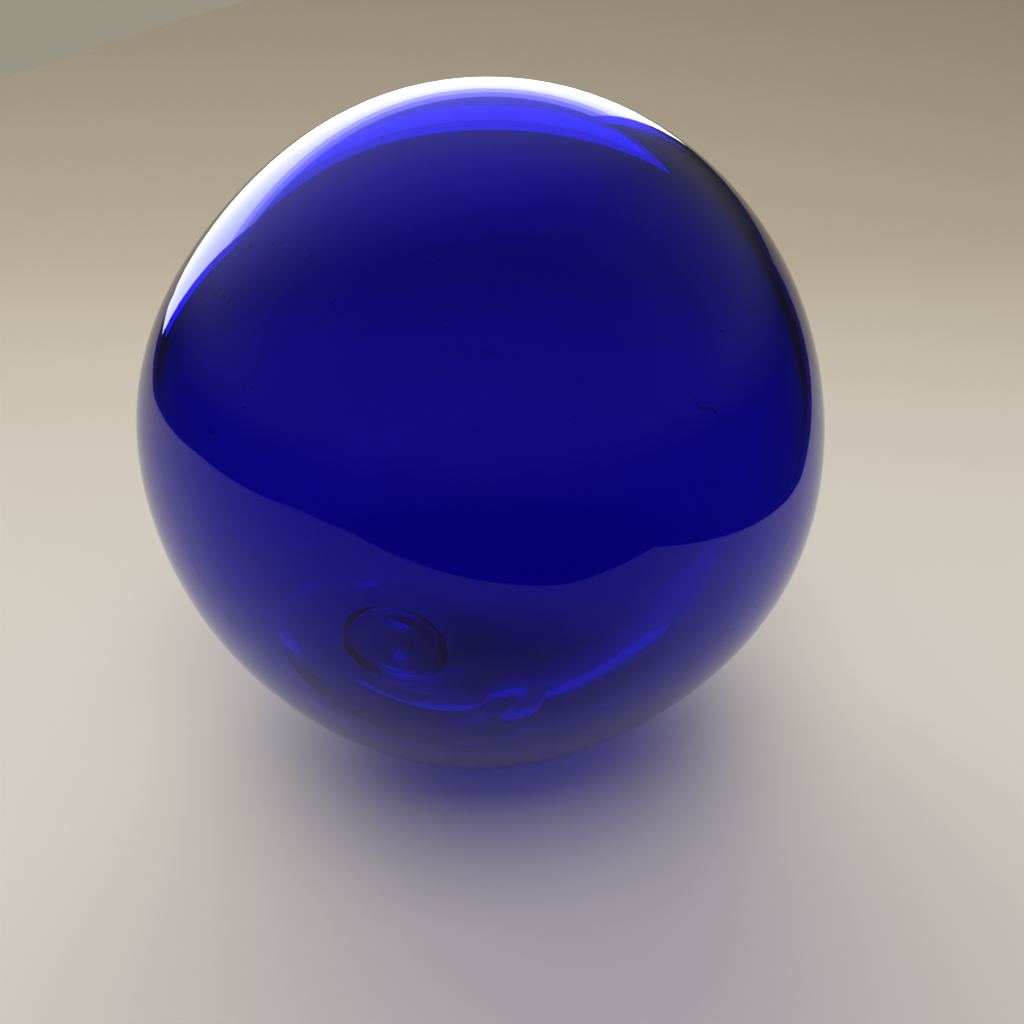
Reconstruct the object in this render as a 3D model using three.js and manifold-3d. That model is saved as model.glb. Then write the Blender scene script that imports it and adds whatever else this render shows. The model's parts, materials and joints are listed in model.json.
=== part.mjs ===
// Glass float ball: a mouth-blown ball of deep cobalt glass, once the float of a fishing net.
// The globe was blown in one gather and broken from the pipe. A second gather of glass, the seal
// button, was then pressed into the blow hole to close it. The sealed ball is modelled solid.
//
// Millimetres, +Z up. The origin is the centre of the flat spot that the ball rests on. Looking
// along +Y, +X is to the right, and the seal button lies low on the left.

import * as THREE from 'three';
import { mergeVertices } from 'three/addons/utils/BufferGeometryUtils.js';
import Module from 'manifold-3d';

const wasm = await Module();
wasm.setup();

// ---- driving dimensions -------------------------------------------------------------------

const BALL_RADIUS = 75; // a ball of the six-inch class
const REST_SPOT_RADIUS = 8.5; // the flat that keeps it from rolling
const BALL_DETAIL = 16; // how often each edge of the starting icosahedron is divided

const SEAL_RADIUS = 15.5; // the seal button, where it meets the globe
const SEAL_FACE_RADIUS = 6.5; // the part of it that was pressed flat
const SEAL_RISE = 1; // how far that face stands out of the ball's round
const SEAL_DEPTH = 4; // how deep the button fills the blow hole
const SEAL_ROOT_RADIUS = 12.5; // its rounded inner end, where it narrows
const SEAL_TILT = 21.5; // degrees away from straight down
const SEAL_HEADING = 176; // degrees from +X towards +Y
const SEAL_SEGMENTS = 44;
const SHOULDER_STEPS = 7; // facets along the button's rounded shoulder

const FIT_GAP = 0.3; // between the button and its pocket

// Hand blowing leaves the globe slightly out of round. Each soft form is a broad swell, or a
// flat where its rise is negative: heading from +X towards +Y and height above the level of the
// centre in degrees, spread as the angle at which it has fallen to 1/e, and rise in millimetres.
const SOFT_FORMS = [
  { name: 'crown swell', heading: 12, height: 66, spread: 34, rise: 0.7 },
  { name: 'left shoulder flat', heading: 180, height: 46, spread: 25, rise: -1.5 },
  { name: 'left cheek swell', heading: -165, height: 16, spread: 23, rise: 1.0 },
  { name: 'front belly swell', heading: -95, height: -43, spread: 24, rise: 1.2 },
  { name: 'right belly flat', heading: -53, height: -34, spread: 24, rise: -0.4 },
  { name: 'right cheek swell', heading: -31, height: -13, spread: 22, rise: 1.1 },
];

// ---- worked out from them -----------------------------------------------------------------

const CENTRE_HEIGHT = Math.sqrt(BALL_RADIUS ** 2 - REST_SPOT_RADIUS ** 2);

// A unit vector from a heading round +Z and a height above the horizontal, in degrees.
function direction(heading, height) {
  const polar = THREE.MathUtils.degToRad(90 - height);
  const azimuth = THREE.MathUtils.degToRad(heading);
  return new THREE.Vector3(
    Math.sin(polar) * Math.cos(azimuth),
    Math.sin(polar) * Math.sin(azimuth),
    Math.cos(polar),
  );
}

const softForms = SOFT_FORMS.map((form) => ({
  axis: direction(form.heading, form.height),
  spread: THREE.MathUtils.degToRad(form.spread),
  rise: form.rise,
}));

// The globe's radius in one direction: the round ball and every soft form that reaches there.
function globeRadius(unit) {
  return softForms.reduce(
    (radius, form) => radius + form.rise * Math.exp(-((unit.angleTo(form.axis) / form.spread) ** 2)),
    BALL_RADIUS,
  );
}

// ---- solids -------------------------------------------------------------------------------

function toSolid(geometry) {
  const bare = geometry.clone();
  bare.deleteAttribute('normal');
  bare.deleteAttribute('uv');
  const merged = mergeVertices(bare, 1e-4);
  return new wasm.Manifold(new wasm.Mesh({
    numProp: 3,
    vertProperties: merged.attributes.position.array,
    triVerts: Uint32Array.from(merged.index.array),
  }));
}

function toGeometry(solid) {
  const mesh = solid.getMesh();
  const geometry = new THREE.BufferGeometry();
  geometry.setAttribute('position', new THREE.BufferAttribute(mesh.vertProperties, 3));
  geometry.setIndex(new THREE.BufferAttribute(mesh.triVerts, 1));
  geometry.computeVertexNormals();
  return geometry;
}

// ---- the seal button ----------------------------------------------------------------------
// Both lathe profiles turn about the button's own axis, +Y here, with the ball's centre as the
// origin. The button's axis is then swung to where it lies on the ball.

const sealAxis = direction(SEAL_HEADING, SEAL_TILT - 90);
const sealTurn = new THREE.Quaternion().setFromUnitVectors(new THREE.Vector3(0, 1, 0), sealAxis);

// The button: a rounded root in the blow hole, a straight side up to the ball's surface, and a
// shoulder on one arc that runs level into the pressed face.
function sealGeometry() {
  const faceHeight = BALL_RADIUS + SEAL_RISE;
  const rootHeight = BALL_RADIUS - SEAL_DEPTH;
  const rimHeight = Math.sqrt(BALL_RADIUS ** 2 - SEAL_RADIUS ** 2);
  const run = SEAL_RADIUS - SEAL_FACE_RADIUS;
  const drop = faceHeight - rimHeight;
  const shoulderRadius = (run ** 2 + drop ** 2) / (2 * drop);
  const shoulderSweep = Math.asin(run / shoulderRadius);

  const profile = [
    new THREE.Vector2(0, rootHeight),
    new THREE.Vector2(SEAL_ROOT_RADIUS, rootHeight),
    new THREE.Vector2(SEAL_RADIUS, rootHeight + (SEAL_RADIUS - SEAL_ROOT_RADIUS) / 2),
  ];
  for (let step = 0; step <= SHOULDER_STEPS; step += 1) {
    const angle = shoulderSweep * (1 - step / SHOULDER_STEPS);
    profile.push(new THREE.Vector2(
      SEAL_FACE_RADIUS + shoulderRadius * Math.sin(angle),
      faceHeight - shoulderRadius * (1 - Math.cos(angle)),
    ));
  }
  profile.push(new THREE.Vector2(0, faceHeight));
  return new THREE.LatheGeometry(profile, SEAL_SEGMENTS);
}

// The pocket that the button fills: a plain round hole, one gap wider and deeper than it.
function pocketGeometry() {
  const radius = SEAL_RADIUS + FIT_GAP;
  const floor = BALL_RADIUS - SEAL_DEPTH - FIT_GAP;
  const mouth = BALL_RADIUS + SEAL_DEPTH;
  const profile = [
    new THREE.Vector2(0, floor),
    new THREE.Vector2(radius, floor),
    new THREE.Vector2(radius, mouth),
    new THREE.Vector2(0, mouth),
  ];
  return new THREE.LatheGeometry(profile, SEAL_SEGMENTS).applyQuaternion(sealTurn);
}

// ---- the globe ----------------------------------------------------------------------------

// The whole round form, about the ball's centre, before anything is cut from it.
function roundForm() {
  const geometry = new THREE.IcosahedronGeometry(1, BALL_DETAIL);
  const position = geometry.attributes.position;
  const unit = new THREE.Vector3();
  for (let i = 0; i < position.count; i += 1) {
    unit.fromBufferAttribute(position, i).normalize();
    unit.multiplyScalar(globeRadius(unit));
    position.setXYZ(i, unit.x, unit.y, unit.z);
  }
  return geometry;
}

// All that lies below the resting plane.
function belowRestPlane() {
  const side = BALL_RADIUS;
  return new THREE.BoxGeometry(side, side, side).translate(0, 0, -CENTRE_HEIGHT - side / 2);
}

function globeGeometry() {
  const globe = toSolid(roundForm())
    .subtract(toSolid(belowRestPlane()))
    .subtract(toSolid(pocketGeometry()));
  return toGeometry(globe);
}

// ---- the assembled ball -------------------------------------------------------------------

const cobaltGlass = new THREE.MeshStandardMaterial({ color: 0x160f86, roughness: 0.04, metalness: 0 });
const sealGlass = new THREE.MeshStandardMaterial({ color: 0x100a66, roughness: 0.08, metalness: 0 });

const globe = new THREE.Mesh(globeGeometry(), cobaltGlass);
globe.name = 'blown_globe';

const seal = new THREE.Mesh(sealGeometry(), sealGlass);
seal.name = 'seal_button';
seal.quaternion.copy(sealTurn);

const ball = new THREE.Group();
ball.position.z = CENTRE_HEIGHT;
ball.add(globe, seal);

const floatBall = new THREE.Group();
floatBall.add(ball);

export default floatBall;
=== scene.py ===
import json
import math

import bpy
import numpy as np
from bpy.props import FloatProperty, FloatVectorProperty, IntProperty, PointerProperty
from mathutils import Euler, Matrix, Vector


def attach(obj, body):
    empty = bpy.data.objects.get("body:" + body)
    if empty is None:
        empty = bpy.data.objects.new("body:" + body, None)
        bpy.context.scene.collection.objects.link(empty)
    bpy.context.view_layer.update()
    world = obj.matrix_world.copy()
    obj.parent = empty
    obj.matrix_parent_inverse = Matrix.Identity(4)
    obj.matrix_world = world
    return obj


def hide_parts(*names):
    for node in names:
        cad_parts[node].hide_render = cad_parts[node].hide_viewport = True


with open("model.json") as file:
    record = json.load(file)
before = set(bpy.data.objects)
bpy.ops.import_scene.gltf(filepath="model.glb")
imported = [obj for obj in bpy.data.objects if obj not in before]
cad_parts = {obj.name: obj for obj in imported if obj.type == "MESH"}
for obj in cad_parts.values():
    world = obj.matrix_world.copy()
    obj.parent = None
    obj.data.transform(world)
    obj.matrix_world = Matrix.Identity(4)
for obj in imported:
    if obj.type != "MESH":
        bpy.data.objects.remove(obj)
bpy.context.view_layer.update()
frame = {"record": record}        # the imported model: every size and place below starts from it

bl_info = {
    "name": "Glass Float Ball",
    "version": (1, 0, 0),
    "blender": (4, 5, 0),
    "location": "3D View > Sidebar > Float Ball",
    "description": "Blows a cobalt glass net float, presses its seal button and sets a plain stage",
    "category": "Object",
}

# ---- what the frame says ----------------------------------------------------------------------

MM = 0.001
GLOBE_NODE = "blown_globe"
SEAL_NODE = "seal_button"
BODY = "root"
MOUNTS = {mount["name"]: mount for mount in frame["record"]["mounts"]}
SEAL_FACE = np.array(MOUNTS["seal_face"]["pos_m"])
SEAL_AXIS = np.array(MOUNTS["seal_face"]["axis"]) / np.linalg.norm(MOUNTS["seal_face"]["axis"])

# The seal's axis passes through the ball's centre, which stands straight above the origin.
FACE_REACH = float(SEAL_FACE[0] / SEAL_AXIS[0])
CENTRE = SEAL_FACE - FACE_REACH * SEAL_AXIS

# The same soft forms as the frame's globe: heading from +X towards +Y, height above the level
# of the centre and spread to 1/e in degrees, and rise in millimetres.
SOFT_FORMS = (
    ("crown swell", 12, 66, 34, 0.7),
    ("left shoulder flat", 180, 46, 25, -1.5),
    ("left cheek swell", -165, 16, 23, 1.0),
    ("front belly swell", -95, -43, 24, 1.2),
    ("right belly flat", -53, -34, 24, -0.4),
    ("right cheek swell", -31, -13, 22, 1.1),
)


# ---- directions and round skins ---------------------------------------------------------------

def direction(heading, height):
    """Unit vector from a heading round +Z and a height above the horizontal, in degrees."""
    turn, lift = math.radians(heading), math.radians(height)
    return np.array([math.cos(lift) * math.cos(turn), math.cos(lift) * math.sin(turn), math.sin(lift)])


def side_axes(axis):
    """Two unit vectors square to axis and to each other, right-handed with it."""
    first = np.cross(axis, (0.0, 0.0, 1.0))
    first /= np.linalg.norm(first)
    return first, np.cross(axis, first)


def angle_from(units, axis):
    """The angle in radians between each unit vector and axis."""
    return np.arccos(np.clip(units @ axis, -1.0, 1.0))


def units_round(axis, polar, turn):
    """Unit vectors at each polar angle from axis and each turn round it: cos(polar) along the
    axis plus sin(polar) round the circle of the two side axes."""
    first, second = side_axes(axis)
    ring = np.cos(turn)[None, :, None] * first + np.sin(turn)[None, :, None] * second
    return np.cos(polar)[:, None, None] * axis + np.sin(polar)[:, None, None] * ring


def hump(distance, width):
    """A smooth hump: 1 at no distance, falling as exp of minus distance over width, squared."""
    return np.exp(-((distance / width) ** 2))


def outer_reach(units, radius):
    """Distance from the centre to the outside of the glass: the round radius plus the hump of
    every soft form, each measured by the angle from its own axis."""
    reach = np.full(units.shape[:-1], radius)
    for _, heading, height, spread, rise in SOFT_FORMS:
        away = angle_from(units, direction(heading, height))
        reach += rise * MM * hump(away, math.radians(spread))
    return reach


def flattened(points, softness):
    """Points with no height below zero: each height z becomes softness times log(1 + exp(z /
    softness)), so the underside runs smoothly into a flat at the floor."""
    flat = points.copy()
    flat[..., 2] = softness * np.logaddexp(0.0, points[..., 2] / softness)
    return flat


def ring_faces(ring_count, ring_size):
    """Quads between each ring of points and the next, closed round."""
    ring = np.arange(ring_count - 1)[:, None] * ring_size
    here = np.arange(ring_size)[None, :]
    after = (here + 1) % ring_size
    quads = np.stack([ring + here, ring + after, ring + ring_size + after, ring + ring_size + here], -1)
    return quads.reshape(-1, 4)


def pole_faces(pole, start, ring_size, before):
    """Triangles between a pole point and the ring that begins at start, wound as the quads are.
    The pole comes before that ring or, where before is false, after it."""
    here = np.arange(ring_size)
    after = (here + 1) % ring_size
    fan = np.stack([np.full(ring_size, pole), start + after, start + here], -1)
    return fan if before else fan[:, ::-1]


def mesh_object(name, points, quads, triangles):
    """A smooth-shaded mesh object at the origin, filled from whole arrays."""
    mesh = bpy.data.meshes.new(name)
    loops = np.concatenate([quads.ravel(), triangles.ravel()]).astype(np.int32)
    sizes = np.concatenate([np.full(len(quads), 4), np.full(len(triangles), 3)])
    starts = np.concatenate([[0], np.cumsum(sizes)[:-1]]).astype(np.int32)
    mesh.vertices.add(len(points))
    mesh.vertices.foreach_set("co", points.astype(np.float32).ravel())
    mesh.loops.add(len(loops))
    mesh.loops.foreach_set("vertex_index", loops)
    mesh.polygons.add(len(sizes))
    mesh.polygons.foreach_set("loop_start", starts)
    mesh.polygons.foreach_set("use_smooth", np.ones(len(sizes), dtype=bool))
    mesh.update(calc_edges=True)
    mesh.validate()
    piece = bpy.data.objects.new(name, mesh)
    bpy.context.scene.collection.objects.link(piece)
    return piece


def closed_round(rings, first_pole, last_pole):
    """Points, quads and triangles of a closed skin over rings of points with a pole at each end.
    The rings run so that the quads from one to the next face out of the glass."""
    ring_count, ring_size = rings.shape[:2]
    points = np.concatenate([rings.reshape(-1, 3), first_pole[None], last_pole[None]])
    first, last = ring_count * ring_size, ring_count * ring_size + 1
    triangles = np.concatenate([
        pole_faces(first, 0, ring_size, True),
        pole_faces(last, (ring_count - 1) * ring_size, ring_size, False),
    ])
    return points, ring_faces(ring_count, ring_size), triangles


def joined(*skins):
    """Several skins as one: their points after one another, and their faces renumbered."""
    shifts = np.cumsum([0] + [len(points) for points, _, _ in skins[:-1]])
    return tuple(
        np.concatenate([skin[part] + (shift if part else 0) for skin, shift in zip(skins, shifts)])
        for part in range(3))


def turned(profile, axis, turn):
    """Rings round the axis through the ball's centre, one for each pair of radius and height."""
    first, second = side_axes(axis)
    around = np.cos(turn)[:, None] * first + np.sin(turn)[:, None] * second
    return CENTRE + profile[:, 1, None, None] * axis + profile[:, 0, None, None] * around[None]


def blunted(before, corner, after, count):
    """Points from before to after that round off the corner between them: each is the mean of
    the three weighted (1 - t) squared, 2 t (1 - t) and t squared."""
    t = np.linspace(0.0, 1.0, count).reshape(-1, *[1] * np.ndim(corner))
    return (1.0 - t) ** 2 * before + 2.0 * t * (1.0 - t) * corner + t * t * after


def eased(count, slow):
    """Values from 0 to 1, closer together near 0: a mix of t and t squared, slow giving the
    share of t squared."""
    t = np.linspace(0.0, 1.0, count)
    return (1.0 - slow) * t + slow * t * t


def root_profile(radius, top, depth, count):
    """The root of the button as radius against height: a flat-topped dome below the top height,
    whose depth is that at the axis times one less the eighth power of the share of the radius."""
    across = radius * (1.0 - eased(count, 0.8))[:-1]
    return np.stack([across, top - depth * (1.0 - (across / radius) ** 8)], -1)


# ---- sizes and colours a user may change --------------------------------------------------------

class GlobeSizes(bpy.types.PropertyGroup):
    radius: FloatProperty(
        name="Radius", description="The ball's round radius, before its soft forms",
        default=0.075, unit="LENGTH")
    wall: FloatProperty(
        name="Wall", description="Thickness of the blown wall", default=0.0042, unit="LENGTH")
    pool: FloatProperty(
        name="Pooled glass", description="Share of the pooled glass inside, over the seal",
        default=1.0, min=0.0, max=1.5)
    seeds: IntProperty(
        name="Seeds", description="Small air bubbles in the wall, less any that fall near the seal",
        default=60, min=0)


class SealSizes(bpy.types.PropertyGroup):
    radius: FloatProperty(
        name="Radius", description="Radius of the button at the ball's surface",
        default=0.0155, unit="LENGTH")
    face: FloatProperty(
        name="Pressed face", description="Radius of the flat that was pressed on it",
        default=0.0065, unit="LENGTH")
    side: FloatProperty(
        name="Side", description="Distance from the ball's round down to the foot of its straight side",
        default=0.0021, unit="LENGTH")
    root: FloatProperty(
        name="Root", description="Depth of its rounded root below that",
        default=0.0019, unit="LENGTH")


class GlassLooks(bpy.types.PropertyGroup):
    tint: FloatVectorProperty(
        name="Tint", description="Colour that the skins of the glass give the light that passes them",
        subtype="COLOR", size=3, default=(0.50, 0.38, 0.94), min=0.0, max=1.0)
    depth_colour: FloatVectorProperty(
        name="Depth colour", description="Colour that the thickness of the glass tends to",
        subtype="COLOR", size=3, default=(0.13, 0.0, 0.865), min=0.0, max=1.0)
    shade: FloatVectorProperty(
        name="Shade", description="Colour that each skin leaves in the light that falls through",
        subtype="COLOR", size=3, default=(0.86, 0.80, 0.97), min=0.0, max=1.0)
    density: FloatProperty(
        name="Density", description="Absorption for each metre of glass", default=530.0)
    sheen: FloatVectorProperty(
        name="Sheen", description="Colour of what the glass mirrors face on",
        subtype="COLOR", size=3, default=(0.30, 0.24, 0.66), min=0.0, max=1.0)
    ior: FloatProperty(name="IOR", description="Refractive index of soda glass", default=1.52)
    haze: FloatProperty(
        name="Haze", description="Roughness where the surface has been handled",
        default=0.05, min=0.0, max=1.0)


class StageLooks(bpy.types.PropertyGroup):
    floor: FloatVectorProperty(
        name="Floor", description="Colour of the plain floor",
        subtype="COLOR", size=3, default=(0.70, 0.66, 0.60), min=0.0, max=1.0)
    # Painted shade: the darker, warmer colour that the floor fades into towards its raised back.
    backdrop: FloatVectorProperty(
        name="Backdrop", description="Colour that the floor passes into towards its raised back",
        subtype="COLOR", size=3, default=(0.50, 0.435, 0.33), min=0.0, max=1.0)
    window: FloatProperty(
        name="Window", description="Radiance of the window, which the glass alone mirrors and shows",
        default=2.9)
    patch: FloatProperty(
        name="Patch", description="Radiance of its brightest part, which is only seen through the glass",
        default=6.5)
    sky: FloatProperty(
        name="Sky", description="Radiance of the wide light behind the ball, which only the floor takes",
        default=4.2)
    fill: FloatProperty(
        name="Fill", description="Radiance of the soft light overhead, which only the floor takes",
        default=3.2)
    surround: FloatProperty(
        name="Surround", description="Radiance of the dim light all round", default=0.24)
    beyond: FloatVectorProperty(
        name="Beyond", description="Plain colour seen past the edges of the floor",
        subtype="COLOR", size=3, default=(0.33, 0.30, 0.24), min=0.0, max=1.0)


# ---- the glass pieces ---------------------------------------------------------------------------

FIT = 0.05 * MM              # clearance between the button and its seat
BLUNT = 0.15 * MM            # rounding of the edges of the button and its seat
RING_SIZE = 240              # points round each ring of the globe
OUTER_RINGS = 80
POOL_RINGS = 175             # rings of the inside as far as the pooled glass reaches
INNER_RINGS = 75             # and from there to the far pole
SEAL_RING_SIZE = 160         # points round each ring of the button
FACE_RINGS, SHOULDER_RINGS, ROOT_RINGS, EDGE_RINGS = 8, 22, 24, 5
FLAT_SOFTNESS = 0.06 * MM

# Glass that pooled inside over the seal: the heading and height of its axis, the angle out to
# the middle of its flank, the width of the flank, the angle over which it sinks again inside the
# flank (all in degrees) and its rise in millimetres.
POOLS = (
    ("spread", 205, -70, 28.6, 1.4, 9.0, 1.4),
    ("collar", 181, -71, 18.6, 2.3, 8.0, 1.8),
    ("bead", 178, -70, 9.5, 3.2, 6.0, 2.1),
)
POOL_AXIS = direction(192, -71)
POOL_REACH = 37.0            # degrees
POOL_UNEVENNESS = 0.025      # share of its radius by which the edge of a pool wobbles
SLUMP = 6.0                  # how much wider a pool's flank is at its front, less one

# The seeds: a share of them lies in one cluster, and none lies near the seal.
SEED_RANDOM = 7
CLUSTER_SHARE = 0.35
CLUSTER_AXIS = direction(-142, 38)
CLUSTER_SPREAD = 0.16
CLEAR_OF_SEAL = math.radians(18)
SEED_SIZES = (0.10, 0.38)    # radius in millimetres
SEED_STRETCHES = (1.0, 2.4)  # how many times longer along the wall
SEED_DEPTHS = (0.3, 0.7)     # share of the wall that lies over it
SEED_RINGS, SEED_RING_SIZE = 7, 10

# The drawn-out bubble: the directions of its ends and middle, how thick it is and how far it
# swings aside.
CURL_ENDS = direction(-58.6, 27.4), direction(-55.2, 23.9)
CURL_MIDDLE = direction(-56.9, 25.7)
CURL_THICK = 0.22 * MM
CURL_SWING = -0.009
CURL_DEPTH = 0.12            # share of the wall that lies over it
CURL_RINGS, CURL_RING_SIZE = 32, 10


def lumpy(units, axis):
    """A slow wobble round an axis: three waves round it of 2, 3 and 5 turns, about one high."""
    first, second = side_axes(axis)
    turn = np.arctan2(units @ second, units @ first)
    return 0.5 * np.sin(2 * turn + 0.7) + 0.3 * np.sin(3 * turn - 1.1) + 0.35 * np.sin(5 * turn + 2.3)


def pooled_depth(units):
    """Extra depth of the glass that pooled inside: each pool rises evenly over its flank as
    clip((radius - away) / width + 1/2, 0, 1), and sinks again further in as a hump's side. The
    flank is widest where the glass slumped forward: width = flank * (1 + slump * lean^3), with
    lean 0 at the back of the pool and 1 at its front."""
    extra = np.zeros(units.shape[:-1])
    for _, heading, height, radius, flank, inner, rise in POOLS:
        axis = direction(heading, height)
        away = np.degrees(angle_from(units, axis)) * (1.0 + POOL_UNEVENNESS * lumpy(units, axis))
        aside = units - (units @ axis)[..., None] * axis
        lean = 0.5 - 0.5 * aside[..., 1] / np.maximum(np.linalg.norm(aside, axis=-1), 1e-9)
        step = np.clip((radius - away) / (flank * (1.0 + SLUMP * lean ** 3)) + 0.5, 0.0, 1.0)
        sink = hump(np.maximum(radius - flank / 2 - away, 0.0), inner)
        extra += rise * MM * step * sink
    return extra


def wall_depth(units, sizes):
    """Depth of glass behind each direction: the plain wall, a slow swell from side to side and
    the pooled glass."""
    swell = 0.05 * np.sin(2.1 * units[..., 0] + 1.3) + 0.04 * np.sin(2.6 * units[..., 1] - 0.4)
    return sizes.wall * (1.0 + swell) + sizes.pool * pooled_depth(units)


def seed_skin(count, sizes, rng):
    """Air bubbles inside the wall, each a sphere of rings stretched along the wall. Their skins
    face the air inside them, which is out of the glass."""
    rings, around = SEED_RINGS, SEED_RING_SIZE
    polar = np.linspace(0.0, math.pi, rings + 2)[1:-1]
    turn = np.linspace(0.0, 2.0 * math.pi, around, endpoint=False)
    ball = units_round(np.array([1.0, 0.0, 0.0]), polar, turn).reshape(-1, 3)
    ball = np.concatenate([ball, [[1.0, 0.0, 0.0], [-1.0, 0.0, 0.0]]])
    units = rng.normal(size=(count, 3))
    units /= np.linalg.norm(units, axis=1, keepdims=True)
    near = rng.random(count) < CLUSTER_SHARE
    cluster = CLUSTER_AXIS + CLUSTER_SPREAD * rng.normal(size=(count, 3))
    cluster /= np.linalg.norm(cluster, axis=1, keepdims=True)
    units = np.where(near[:, None], cluster, units)
    units = units[angle_from(units, SEAL_AXIS) > CLEAR_OF_SEAL]
    size = rng.uniform(*SEED_SIZES, len(units)) * MM
    stretch = rng.uniform(*SEED_STRETCHES, len(units))
    depth = rng.uniform(*SEED_DEPTHS, len(units)) * wall_depth(units, sizes)
    middle = CENTRE + units * (outer_reach(units, sizes.radius) - depth)[:, None]
    drift = np.cross(units, SEAL_AXIS)
    drift /= np.linalg.norm(drift, axis=1, keepdims=True)
    across = np.cross(units, drift)
    axes = np.stack([drift * (size * stretch)[:, None], across * size[:, None], units * size[:, None]], 1)
    points = middle[:, None, :] + np.einsum("pk,skc->spc", ball, axes)
    quads = ring_faces(rings, around)
    caps = np.concatenate([
        pole_faces(rings * around, 0, around, True),
        pole_faces(rings * around + 1, (rings - 1) * around, around, False),
    ])
    shift = np.arange(len(units))[:, None, None] * len(ball)
    return points.reshape(-1, 3), (quads[None] + shift).reshape(-1, 4), (caps[None] + shift).reshape(-1, 3)


def curl_skin(sizes):
    """One air bubble drawn out into an S in the wall, facing the air inside it. Its spine runs
    from one direction to another, swung aside by swing * sin(2 pi t), and the radius round the
    spine is thick * sqrt(sin(pi t))."""
    t = 0.5 - 0.5 * np.cos(np.linspace(0.0, math.pi, CURL_RINGS))
    start, end = CURL_ENDS
    aside = np.cross(CURL_MIDDLE, end - start)
    aside /= np.linalg.norm(aside)
    swing = CURL_SWING * np.sin(2.0 * math.pi * t)
    units = start + t[:, None] * (end - start) + swing[:, None] * aside
    units /= np.linalg.norm(units, axis=1, keepdims=True)
    reach = outer_reach(units, sizes.radius) - CURL_DEPTH * wall_depth(units, sizes)
    spine = CENTRE + units * reach[:, None]
    along = np.gradient(spine, axis=0)[1:-1]
    first = np.cross(along, CURL_MIDDLE)
    first /= np.linalg.norm(first, axis=1, keepdims=True)
    second = np.cross(along, first)
    second /= np.linalg.norm(second, axis=1, keepdims=True)
    turn = np.linspace(2.0 * math.pi, 0.0, CURL_RING_SIZE, endpoint=False)[:, None]
    across = np.cos(turn) * first[:, None] + np.sin(turn) * second[:, None]
    thick = CURL_THICK * np.sqrt(np.sin(math.pi * t[1:-1]))
    rings = spine[1:-1, None] + thick[:, None, None] * across
    return closed_round(rings, spine[0], spine[-1])


def outer_skin(sizes, seal):
    """The outside of the globe with the seal's seat pressed into it. A point is the centre plus
    its reach along a unit vector, as far as the seat. From there the skin rounds over the edge,
    goes straight down beside the button, and runs under its root to the axis."""
    turn = np.linspace(0.0, 2.0 * math.pi, RING_SIZE, endpoint=False)
    rim = math.asin((seal.radius + FIT) / sizes.radius)
    polar = rim + (math.pi - rim) * eased(OUTER_RINGS + 1, 0.5)[:-1]
    polar[0] += BLUNT / sizes.radius
    units = units_round(SEAL_AXIS, polar, turn)
    outside = flattened(CENTRE + units * outer_reach(units, sizes.radius)[..., None], FLAT_SOFTNESS)
    corner_units = units_round(SEAL_AXIS, np.array([rim]), turn)
    corner = CENTRE + corner_units * outer_reach(corner_units, sizes.radius)[..., None]
    edge = blunted(outside[0], corner[0], corner[0] - BLUNT * SEAL_AXIS, EDGE_RINGS)[1:]
    foot = sizes.radius - seal.side
    seat = root_profile(seal.radius + FIT, foot, seal.root + FIT, ROOT_RINGS)
    under = turned(seat, SEAL_AXIS, turn)
    t = np.linspace(0.0, 1.0, 4)[1:-1, None, None]
    side = edge[-1:] * (1.0 - t) + under[:1] * t
    far = -SEAL_AXIS[None]
    far_pole = CENTRE + far[0] * outer_reach(far, sizes.radius)[0]
    seat_pole = CENTRE + (foot - seal.root - FIT) * SEAL_AXIS
    return closed_round(np.concatenate([outside[::-1], edge, side, under]), far_pole, seat_pole)


def inner_skin(sizes):
    """The inside of the globe, facing the air in it. A point is the centre plus, along a unit
    vector, the outer reach less the depth of the wall there. The rings lie close together over
    the pooled glass."""
    turn = np.linspace(0.0, 2.0 * math.pi, RING_SIZE, endpoint=False)
    near = math.radians(POOL_REACH)
    polar = np.concatenate([
        np.linspace(0.0, near, POOL_RINGS + 1)[1:],
        near + (math.pi - near) * eased(INNER_RINGS + 2, 0.6)[1:-1],
    ])
    units = units_round(POOL_AXIS, polar, turn)
    inside = CENTRE + units * (outer_reach(units, sizes.radius) - wall_depth(units, sizes))[..., None]
    ends = np.stack([POOL_AXIS, -POOL_AXIS])
    poles = CENTRE + ends * (outer_reach(ends, sizes.radius) - wall_depth(ends, sizes))[:, None]
    return closed_round(inside, poles[0], poles[1])


def seal_skin(sizes, seal):
    """The seal button as one closed skin turned round its axis. Its profile, as radius against
    height along the axis from the ball's centre: the pressed face, a shoulder on one arc, a
    rounded edge, the straight side and the root."""
    turn = np.linspace(0.0, 2.0 * math.pi, SEAL_RING_SIZE, endpoint=False)
    rim = math.sqrt(sizes.radius ** 2 - seal.radius ** 2)
    run, drop = seal.radius - seal.face, FACE_REACH - rim
    arc = (run ** 2 + drop ** 2) / (2.0 * drop)
    angle = np.linspace(0.0, math.asin(run / arc), SHOULDER_RINGS)
    shoulder = np.stack([seal.face + arc * np.sin(angle), FACE_REACH - arc * (1.0 - np.cos(angle))], -1)
    across = np.linspace(0.0, seal.face, FACE_RINGS + 2)[1:-1]
    face = np.stack([across, np.full(FACE_RINGS, FACE_REACH)], -1)
    corner = shoulder[-1]
    edge = blunted(corner - BLUNT * np.array([math.cos(angle[-1]), -math.sin(angle[-1])]), corner,
                   corner - np.array([0.0, BLUNT]), EDGE_RINGS)
    root = root_profile(seal.radius, sizes.radius - seal.side, seal.root, ROOT_RINGS)
    profile = np.concatenate([face, shoulder[:-1], edge, root])
    top = CENTRE + FACE_REACH * SEAL_AXIS
    bottom = CENTRE + (sizes.radius - seal.side - seal.root) * SEAL_AXIS
    return closed_round(turned(profile, SEAL_AXIS, turn)[::-1], bottom, top)


# ---- shader groups ------------------------------------------------------------------------------

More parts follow.
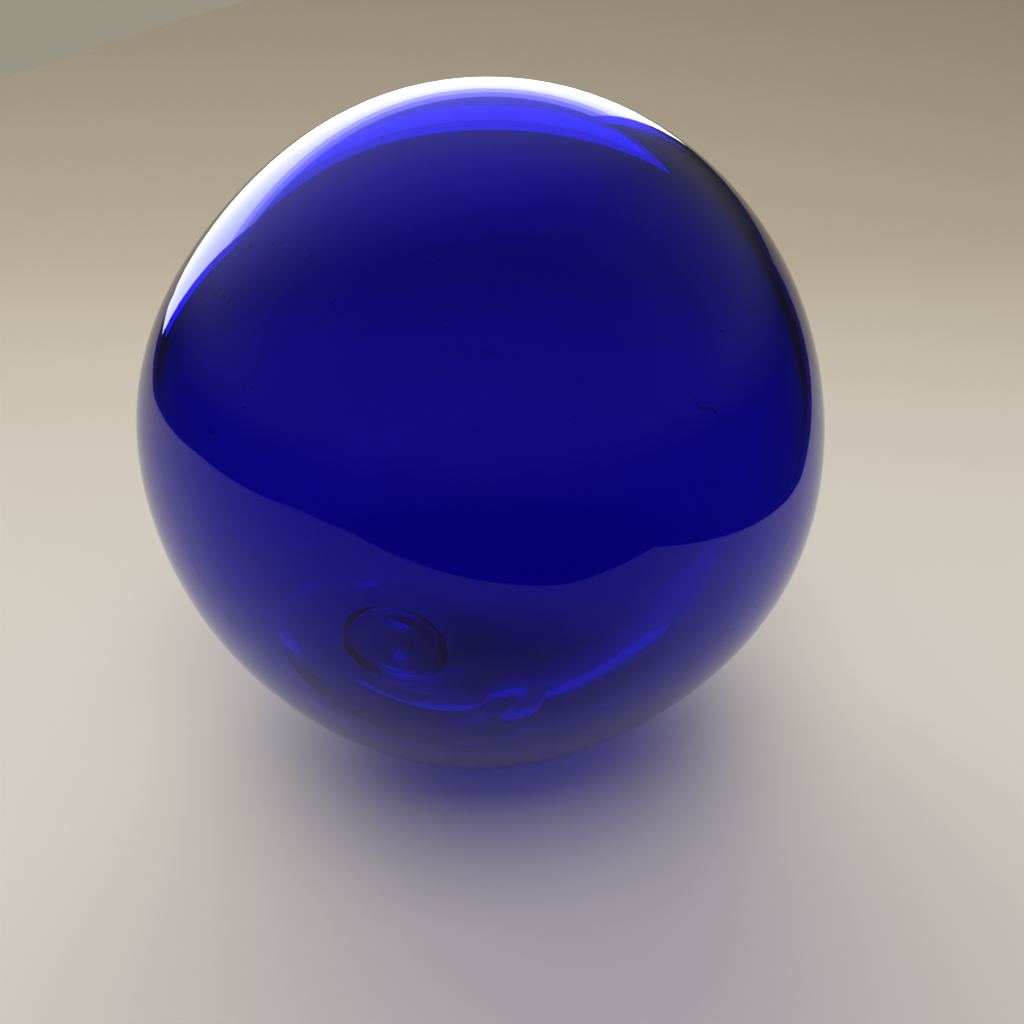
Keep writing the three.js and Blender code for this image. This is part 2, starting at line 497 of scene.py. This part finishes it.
def node(tree, kind, at=(0, 0), **settings):
    """A node of that kind in the tree, with its settings."""
    made = tree.nodes.new(kind)
    made.location = at
    for key, value in settings.items():
        setattr(made, key, value)
    return made


def new_group(name, inputs, outputs):
    """An empty shader node group with named sockets, and its input and output nodes."""
    tree = bpy.data.node_groups.new(name, "ShaderNodeTree")
    for label, kind, value in inputs:
        socket = tree.interface.new_socket(label, in_out="INPUT", socket_type=kind)
        if value is not None:
            socket.default_value = value
    for label, kind in outputs:
        tree.interface.new_socket(label, in_out="OUTPUT", socket_type=kind)
    return tree, node(tree, "NodeGroupInput", (-900, 0)), node(tree, "NodeGroupOutput", (700, 0))


def haze_group():
    """Faint handling smears: two stretched noises multiplied and cut to their upper part."""
    tree, given, out = new_group(
        "Handling Haze",
        [("Vector", "NodeSocketVector", None), ("Scale", "NodeSocketFloat", 18.0),
         ("Cover", "NodeSocketFloat", 0.5)],
        [("Mask", "NodeSocketFloat")])
    broad = node(tree, "ShaderNodeTexNoise", (-600, 150))
    broad.inputs["Detail"].default_value = 4.0
    broad.inputs["Distortion"].default_value = 1.2
    stretch = node(tree, "ShaderNodeMapping", (-750, -150))
    stretch.inputs["Scale"].default_value = (1.0, 3.0, 0.6)
    stretch.inputs["Rotation"].default_value = (0.4, 0.2, 0.9)
    wipes = node(tree, "ShaderNodeTexNoise", (-550, -150))
    wipes.inputs["Detail"].default_value = 6.0
    wipes.inputs["Roughness"].default_value = 0.62
    both = node(tree, "ShaderNodeMath", (-200, 0), operation="MULTIPLY")
    cut = node(tree, "ShaderNodeMapRange", (0, 0), clamp=True)
    cut.inputs["From Min"].default_value = 0.24
    cut.inputs["From Max"].default_value = 0.42
    scaled = node(tree, "ShaderNodeMath", (250, 0), operation="MULTIPLY")
    links = tree.links
    links.new(given.outputs["Vector"], broad.inputs["Vector"])
    links.new(given.outputs["Scale"], broad.inputs["Scale"])
    links.new(given.outputs["Vector"], stretch.inputs["Vector"])
    links.new(stretch.outputs["Vector"], wipes.inputs["Vector"])
    links.new(given.outputs["Scale"], wipes.inputs["Scale"])
    links.new(broad.outputs["Fac"], both.inputs[0])
    links.new(wipes.outputs["Fac"], both.inputs[1])
    links.new(both.outputs["Value"], cut.inputs["Value"])
    links.new(cut.outputs["Result"], scaled.inputs[0])
    links.new(given.outputs["Cover"], scaled.inputs[1])
    links.new(scaled.outputs["Value"], out.inputs["Mask"])
    return tree


def cords_group():
    """Blowing cords: a slow noise under a finer, stretched one, as a height."""
    tree, given, out = new_group(
        "Blowing Cords",
        [("Vector", "NodeSocketVector", None), ("Scale", "NodeSocketFloat", 16.0)],
        [("Height", "NodeSocketFloat")])
    slow = node(tree, "ShaderNodeTexNoise", (-600, 150))
    slow.inputs["Detail"].default_value = 1.0
    slow.inputs["Roughness"].default_value = 0.3
    stretch = node(tree, "ShaderNodeMapping", (-750, -150))
    stretch.inputs["Scale"].default_value = (0.5, 0.7, 2.4)
    stretch.inputs["Rotation"].default_value = (0.35, -0.3, 0.0)
    fine = node(tree, "ShaderNodeTexNoise", (-550, -150))
    fine.inputs["Detail"].default_value = 1.5
    fine.inputs["Roughness"].default_value = 0.35
    weighed = node(tree, "ShaderNodeMath", (-250, 0), operation="MULTIPLY_ADD")
    weighed.inputs[1].default_value = 0.35
    links = tree.links
    links.new(given.outputs["Vector"], slow.inputs["Vector"])
    links.new(given.outputs["Scale"], slow.inputs["Scale"])
    links.new(given.outputs["Vector"], stretch.inputs["Vector"])
    links.new(stretch.outputs["Vector"], fine.inputs["Vector"])
    links.new(given.outputs["Scale"], fine.inputs["Scale"])
    links.new(fine.outputs["Fac"], weighed.inputs[0])
    links.new(slow.outputs["Fac"], weighed.inputs[2])
    links.new(weighed.outputs["Value"], out.inputs["Height"])
    return tree


# ---- materials ----------------------------------------------------------------------------------

def shared_group(name, make):
    """The node group of that name, made once."""
    return bpy.data.node_groups.get(name) or make()


def glass_material(name, looks, haze_cover, cord_height):
    """Clear coloured glass: plain tint, transmission and absorption, with handling haze in the
    roughness and blowing cords in the normal. Rays that look for a light pass straight through
    it, tinted, so that the float throws a coloured shadow."""
    material = bpy.data.materials.new(name)
    material.use_nodes = True
    tree = material.node_tree
    tree.nodes.clear()
    out = node(tree, "ShaderNodeOutputMaterial", (700, 0))
    glass = node(tree, "ShaderNodeBsdfPrincipled", (300, 0))
    glass.inputs["Base Color"].default_value = (*looks.tint, 1.0)
    glass.inputs["Transmission Weight"].default_value = 1.0
    glass.inputs["IOR"].default_value = looks.ior
    glass.inputs["Specular Tint"].default_value = (*looks.sheen, 1.0)
    depth = node(tree, "ShaderNodeVolumeAbsorption", (300, -400))
    depth.inputs["Color"].default_value = (*looks.depth_colour, 1.0)
    depth.inputs["Density"].default_value = looks.density
    place = node(tree, "ShaderNodeTexCoord", (-700, 0))
    haze = node(tree, "ShaderNodeGroup", (-400, 100))
    haze.node_tree = shared_group("Handling Haze", haze_group)
    haze.inputs["Cover"].default_value = haze_cover
    rough = node(tree, "ShaderNodeMapRange", (-100, 100))
    rough.inputs["To Min"].default_value = 0.0
    rough.inputs["To Max"].default_value = looks.haze
    cords = node(tree, "ShaderNodeGroup", (-400, -200))
    cords.node_tree = shared_group("Blowing Cords", cords_group)
    bump = node(tree, "ShaderNodeBump", (-100, -200))
    bump.inputs["Strength"].default_value = 1.0
    bump.inputs["Distance"].default_value = cord_height
    links = tree.links
    links.new(place.outputs["Object"], haze.inputs["Vector"])
    links.new(place.outputs["Object"], cords.inputs["Vector"])
    links.new(haze.outputs["Mask"], rough.inputs["Value"])
    links.new(rough.outputs["Result"], glass.inputs["Roughness"])
    links.new(cords.outputs["Height"], bump.inputs["Height"])
    links.new(bump.outputs["Normal"], glass.inputs["Normal"])
    path = node(tree, "ShaderNodeLightPath", (300, 400))
    passed = node(tree, "ShaderNodeBsdfTransparent", (300, -250))
    passed.inputs["Color"].default_value = (*looks.shade, 1.0)
    lit = node(tree, "ShaderNodeMixShader", (550, 0))
    links.new(path.outputs["Is Shadow Ray"], lit.inputs["Fac"])
    links.new(glass.outputs["BSDF"], lit.inputs[1])
    links.new(passed.outputs["BSDF"], lit.inputs[2])
    links.new(lit.outputs["Shader"], out.inputs["Surface"])
    links.new(depth.outputs["Volume"], out.inputs["Volume"])
    return material


# Where along +Y the floor's colour passes into the backdrop's, a painted shade that darkens and warms the
# sheet towards its raised back, the colour of the backdrop's glow, and from where to where that glow comes
# up, back along +Y and to the left along X.
SHADE_START, SHADE_END = 0.0, 0.45
BACKDROP_GLOW = (0.38, 0.36, 0.42)
GLOW_RAMPS = (("Y", 0.36, 0.70), ("X", 0.30, 0.0))


def paper_material(name, near, far):
    """Plain matte paper, its colour passing from near to far along +Y, with the faintest
    unevenness of tone; the far colour is a painted shade, darker and warmer towards its raised back.
    What is seen of its raised back through the glass glows a little, least
    at the right, as if the window behind shone through it."""
    material = bpy.data.materials.new(name)
    material.use_nodes = True
    tree = material.node_tree
    matte = tree.nodes["Principled BSDF"]
    matte.inputs["Roughness"].default_value = 0.85
    matte.inputs["Specular IOR Level"].default_value = 0.2
    place = node(tree, "ShaderNodeTexCoord", (-1100, 0))
    split = node(tree, "ShaderNodeSeparateXYZ", (-900, -150))
    noise = node(tree, "ShaderNodeTexNoise", (-900, 150))
    noise.inputs["Scale"].default_value = 3.0
    stir = node(tree, "ShaderNodeMath", (-700, 0), operation="MULTIPLY_ADD")
    stir.inputs[1].default_value = 0.06
    painted_shade_ramp = node(tree, "ShaderNodeMapRange", (-500, 0), interpolation_type="SMOOTHSTEP")
    painted_shade_ramp.inputs["From Min"].default_value = SHADE_START
    painted_shade_ramp.inputs["From Max"].default_value = SHADE_END
    # Painted shade: the mix darkens and warms the floor colour into the far colour towards the raised back.
    tone = node(tree, "ShaderNodeMix", (-250, 0), data_type="RGBA")
    tone.inputs["A"].default_value = (*near, 1.0)
    tone.inputs["B"].default_value = (*far, 1.0)
    tree.links.new(place.outputs["Object"], split.inputs["Vector"])
    tree.links.new(place.outputs["Object"], noise.inputs["Vector"])
    tree.links.new(noise.outputs["Fac"], stir.inputs[0])
    tree.links.new(split.outputs["Y"], stir.inputs[2])
    tree.links.new(stir.outputs["Value"], painted_shade_ramp.inputs["Value"])
    tree.links.new(painted_shade_ramp.outputs["Result"], tone.inputs["Factor"])
    tree.links.new(tone.outputs["Result"], matte.inputs["Base Color"])
    path = node(tree, "ShaderNodeLightPath", (-900, -500))
    strength = path.outputs["Is Transmission Ray"]
    for axis, low, high in GLOW_RAMPS:
        ramp = node(tree, "ShaderNodeMapRange", (-600, -400), interpolation_type="SMOOTHSTEP")
        ramp.inputs["From Min"].default_value = low
        ramp.inputs["From Max"].default_value = high
        times = node(tree, "ShaderNodeMath", (-350, -400), operation="MULTIPLY")
        tree.links.new(split.outputs[axis], ramp.inputs["Value"])
        tree.links.new(ramp.outputs["Result"], times.inputs[0])
        tree.links.new(strength, times.inputs[1])
        strength = times.outputs["Value"]
    matte.inputs["Emission Color"].default_value = (*BACKDROP_GLOW, 1.0)
    tree.links.new(strength, matte.inputs["Emission Strength"])
    return material


# ---- the stage ----------------------------------------------------------------------------------

CAMERA_DISTANCE = 0.2222
CAMERA_HEIGHT_ANGLE = 27.0
CAMERA_LENS = 33.33
AIM_RIGHT = 1.81          # degrees that the camera's axis passes to the right of the ball's centre
AIM_DOWN = 31.85          # degrees that it looks down

# The lights behind the ball: from which heading to which, from +Y towards +X, and from which
# height to which, in degrees seen from its centre. The window is three panes over each other,
# each with its top height and its share of the light, so that its upper edge fades out.
WINDOW_HEADINGS = (-46, 19)
WINDOW_FOOT = -6
WINDOW_PANES = ((22, 0.48), (26, 0.28), (30, 0.24))
PATCH_HEADINGS, PATCH_HEIGHTS = (-26, 17), (4, 13)
SKY_HEADINGS, SKY_HEIGHTS = (-46, 20), (8, 45)
WINDOW_COLOUR = (0.90, 0.96, 1.0)
SKY_COLOUR = (0.96, 0.98, 1.0)
FILL_COLOUR = (1.0, 0.98, 0.95)
FILL_PLACE, FILL_SIZE = (0.0, -0.35, 1.1), 0.7

# The sheet of floor and backdrop. It is level from its front edge to FLOOR_BACK, then rises on an
# arc. Each step is how far that edge shifts across the sheet.
FLOOR_FRONT, FRONT_STEP = -0.60, 0.34
FLOOR_BACK, RISE_RADIUS = 0.30, 1.0
RISE_LOW, RISE_STEP = 0.05, 0.075
FLOOR_LEFT, LEFT_STEP = -0.85, 0.33
FLOOR_RIGHT, RIGHT_SPREAD = 0.26, 0.62
SWEEP_COLUMNS, FLOOR_ROWS, RISE_ROWS = 49, 14, 24

def window_light(name, headings, heights, distance, radiance, colour):
    """A soft upright rectangular light square to +Y, at that distance behind the ball's centre
    and filling that range of headings (from +Y towards +X) and of heights seen from there."""
    left, right = (distance * math.tan(math.radians(turn)) for turn in headings)
    low, high = (distance * math.tan(math.radians(lift)) for lift in heights)
    light = bpy.data.lights.new(name, "AREA")
    light.shape = "RECTANGLE"
    light.size, light.size_y = right - left, high - low
    light.energy = math.pi * (right - left) * (high - low) * radiance
    light.color = colour
    holder = bpy.data.objects.new(name, light)
    holder.location = Vector(CENTRE) + Vector(((left + right) / 2, distance, (low + high) / 2))
    holder.rotation_euler = (math.radians(-90), 0.0, 0.0)
    holder.visible_camera = False
    bpy.context.scene.collection.objects.link(holder)
    return holder


def fill_light(name, place, size, radiance, colour):
    """A soft square light at place, turned to the origin, that only lights matte surfaces."""
    light = bpy.data.lights.new(name, "AREA")
    light.size = size
    light.energy = math.pi * size * size * radiance
    light.color = colour
    holder = bpy.data.objects.new(name, light)
    holder.location = place
    holder.rotation_euler = (-Vector(place)).to_track_quat("-Z", "Y").to_euler()
    holder.visible_camera = holder.visible_glossy = holder.visible_transmission = False
    bpy.context.scene.collection.objects.link(holder)
    return holder


def sweep_mesh():
    """The floor and backdrop as one sheet: straight back from the front edge, then rising on a
    wide arc. Its front edge lies nearer the ball at the right, and its back edge lower at the
    left."""
    share = np.linspace(0.0, 1.0, SWEEP_COLUMNS)[None, :]
    level, rising = np.linspace(0.0, 1.0, FLOOR_ROWS + 1)[:-1], np.linspace(1.0, 2.0, RISE_ROWS)
    rows = np.concatenate([level, rising])[:, None]
    front = FLOOR_FRONT + FRONT_STEP * np.clip((share - 0.35) / 0.5, 0.0, 1.0)
    y_flat = front + (FLOOR_BACK - front) * np.minimum(rows, 1.0)
    back = np.maximum(rows - 1.0, 0.0)
    fall = np.clip((share - 0.02) / 0.3, 0.0, 1.0)
    edge = RISE_LOW + RISE_STEP * fall * fall * (3.0 - 2.0 * fall)
    angle = back * np.arccos(1.0 - edge / RISE_RADIUS)
    y = y_flat + RISE_RADIUS * np.sin(angle)
    z = RISE_RADIUS * (1.0 - np.cos(angle))
    left = FLOOR_LEFT + LEFT_STEP * np.clip(y / FLOOR_BACK, 0.0, 1.0)
    right = FLOOR_RIGHT + RIGHT_SPREAD * np.maximum(y - 0.05, 0.0)
    points = np.stack([left + (right - left) * share, y, z], -1)
    count, columns = points.shape[:2]
    corner = np.arange(count - 1)[:, None] * columns + np.arange(columns - 1)[None, :]
    quads = np.stack([corner, corner + 1, corner + columns + 1, corner + columns], -1).reshape(-1, 4)
    return points.reshape(-1, 3), quads


def surround_world(looks):
    """A dim surround that brightens from the level of the floor upwards, and once more high
    behind the ball. The camera sees one plain colour in its place."""
    world = bpy.data.worlds.new("Dim Surround")
    world.use_nodes = True
    tree = world.node_tree
    tree.nodes.clear()
    links = tree.links
    place = node(tree, "ShaderNodeTexCoord", (-1100, 0))
    split = node(tree, "ShaderNodeSeparateXYZ", (-900, 100))
    links.new(place.outputs["Generated"], split.inputs["Vector"])
    rise = node(tree, "ShaderNodeMapRange", (-700, 150), interpolation_type="SMOOTHSTEP")
    rise.inputs["From Min"].default_value = 0.0
    rise.inputs["From Max"].default_value = 0.35
    rise.inputs["To Min"].default_value = 0.15 * looks.surround
    rise.inputs["To Max"].default_value = looks.surround
    links.new(split.outputs["Z"], rise.inputs["Value"])
    toward = node(tree, "ShaderNodeVectorMath", (-900, -150), operation="DOT_PRODUCT")
    toward.inputs[1].default_value = tuple(direction(112, 42))
    links.new(place.outputs["Generated"], toward.inputs[0])
    glow = node(tree, "ShaderNodeMapRange", (-700, -150), interpolation_type="SMOOTHSTEP")
    glow.inputs["From Min"].default_value = 0.62
    glow.inputs["From Max"].default_value = 1.0
    glow.inputs["To Min"].default_value = 0.0
    glow.inputs["To Max"].default_value = 1.5 * looks.surround
    links.new(toward.outputs["Value"], glow.inputs["Value"])
    both = node(tree, "ShaderNodeMath", (-450, 0), operation="ADD")
    links.new(rise.outputs["Result"], both.inputs[0])
    links.new(glow.outputs["Result"], both.inputs[1])
    room = node(tree, "ShaderNodeBackground", (-200, 0))
    room.inputs["Color"].default_value = (1.0, 0.94, 0.85, 1.0)
    links.new(both.outputs["Value"], room.inputs["Strength"])
    plain = node(tree, "ShaderNodeBackground", (-200, -200))
    plain.inputs["Color"].default_value = (*looks.beyond, 1.0)
    path = node(tree, "ShaderNodeLightPath", (-200, 350))
    pick = node(tree, "ShaderNodeMixShader", (100, 0))
    links.new(path.outputs["Is Camera Ray"], pick.inputs["Fac"])
    links.new(room.outputs["Background"], pick.inputs[1])
    links.new(plain.outputs["Background"], pick.inputs[2])
    out = node(tree, "ShaderNodeOutputWorld", (300, 0))
    links.new(pick.outputs["Shader"], out.inputs["Surface"])
    return world


# ---- operators ----------------------------------------------------------------------------------

class FLOAT_OT_blow_globe(bpy.types.Operator):
    """Blow the hollow globe with its blow hole, air bubbles and soft forms"""
    bl_idname = "glass_float.blow_globe"
    bl_label = "Blow the globe"

    def execute(self, context):
        sizes, seal, looks = context.scene.float_globe, context.scene.float_seal, context.scene.float_glass
        seeds = seed_skin(sizes.seeds, sizes, np.random.default_rng(SEED_RANDOM))
        skin = joined(outer_skin(sizes, seal), inner_skin(sizes), seeds, curl_skin(sizes))
        piece = mesh_object("blown_globe_glass", *skin)
        piece.data.materials.append(glass_material("Cobalt Glass", looks, 0.5, 0.02 * MM))
        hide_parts(GLOBE_NODE)
        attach(piece, BODY)
        return {"FINISHED"}


class FLOAT_OT_press_seal(bpy.types.Operator):
    """Press the seal button into the blow hole"""
    bl_idname = "glass_float.press_seal"
    bl_label = "Press the seal button"

    def execute(self, context):
        sizes, seal, looks = context.scene.float_globe, context.scene.float_seal, context.scene.float_glass
        skin = seal_skin(sizes, seal)
        piece = mesh_object("seal_button_glass", *skin)
        piece.data.materials.append(glass_material("Seal Glass", looks, 0.9, 0.05 * MM))
        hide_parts(SEAL_NODE)
        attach(piece, BODY)
        return {"FINISHED"}


class FLOAT_OT_set_stage(bpy.types.Operator):
    """Set the plain floor and backdrop, the soft lights and the camera"""
    bl_idname = "glass_float.set_stage"
    bl_label = "Set the stage"

    def execute(self, context):
        scene, looks = context.scene, context.scene.float_stage
        points, quads = sweep_mesh()
        sweep = mesh_object("stage_sweep", points, quads, np.zeros((0, 3), dtype=int))
        # The far colour, the backdrop's, is painted shade that darkens the sheet towards its raised back.
        sweep.data.materials.append(paper_material("Stage Paper", looks.floor, looks.backdrop))

        # The panes and the patch are there for the glass alone, and the sky and the fill for the
        # floor alone, so each of them can be set without the others.
        for number, (top, share) in enumerate(WINDOW_PANES):
            pane = window_light(f"window_light_{number + 1}", WINDOW_HEADINGS, (WINDOW_FOOT, top),
                                2.0 + 0.02 * number, share * looks.window, WINDOW_COLOUR)
            pane.visible_diffuse = False
        patch = window_light("bright_patch", PATCH_HEADINGS, PATCH_HEIGHTS, 1.9, looks.patch, WINDOW_COLOUR)
        patch.visible_diffuse = patch.visible_glossy = False
        sky = window_light("sky_light", SKY_HEADINGS, SKY_HEIGHTS, 2.1, looks.sky, SKY_COLOUR)
        sky.visible_glossy = sky.visible_transmission = False
        fill_light("fill_light", FILL_PLACE, FILL_SIZE, looks.fill, FILL_COLOUR)
        scene.world = surround_world(looks)

        camera = bpy.data.cameras.new("camera")
        camera.lens = CAMERA_LENS
        holder = bpy.data.objects.new("camera", camera)
        holder.location = Vector(CENTRE) + CAMERA_DISTANCE * Vector(direction(-90, CAMERA_HEIGHT_ANGLE))
        holder.rotation_euler = Euler((math.radians(90 - AIM_DOWN), 0.0, -math.radians(AIM_RIGHT)))
        camera.clip_start = 0.01
        scene.collection.objects.link(holder)
        scene.camera = holder
        scene.view_settings.view_transform = "Standard"
        return {"FINISHED"}


class FLOAT_PT_panel(bpy.types.Panel):
    """Sizes, looks and making of the glass float"""
    bl_idname = "FLOAT_PT_panel"
    bl_label = "Glass Float Ball"
    bl_space_type = "VIEW_3D"
    bl_region_type = "UI"
    bl_category = "Float Ball"

    def draw(self, context):
        for group in (context.scene.float_globe, context.scene.float_seal,
                      context.scene.float_glass, context.scene.float_stage):
            box = self.layout.box()
            for key in group.__annotations__:
                box.prop(group, key)
        for operator in OPERATORS:
            self.layout.operator(operator.bl_idname)


GROUPS = {
    "float_globe": GlobeSizes,
    "float_seal": SealSizes,
    "float_glass": GlassLooks,
    "float_stage": StageLooks,
}
OPERATORS = (FLOAT_OT_blow_globe, FLOAT_OT_press_seal, FLOAT_OT_set_stage)


def register():
    """Registers every class and hangs the sizes and looks on the scene."""
    for group in (*GROUPS.values(), *OPERATORS, FLOAT_PT_panel):
        bpy.utils.register_class(group)
    for name, group in GROUPS.items():
        setattr(bpy.types.Scene, name, PointerProperty(type=group))


def unregister():
    """Takes away what register added."""
    for name in GROUPS:
        delattr(bpy.types.Scene, name)
    for group in reversed((*GROUPS.values(), *OPERATORS, FLOAT_PT_panel)):
        bpy.utils.unregister_class(group)


def main():
    """Makes every piece in order."""
    register()
    bpy.ops.glass_float.blow_globe()
    bpy.ops.glass_float.press_seal()
    bpy.ops.glass_float.set_stage()


if __name__ == "__main__":
    main()
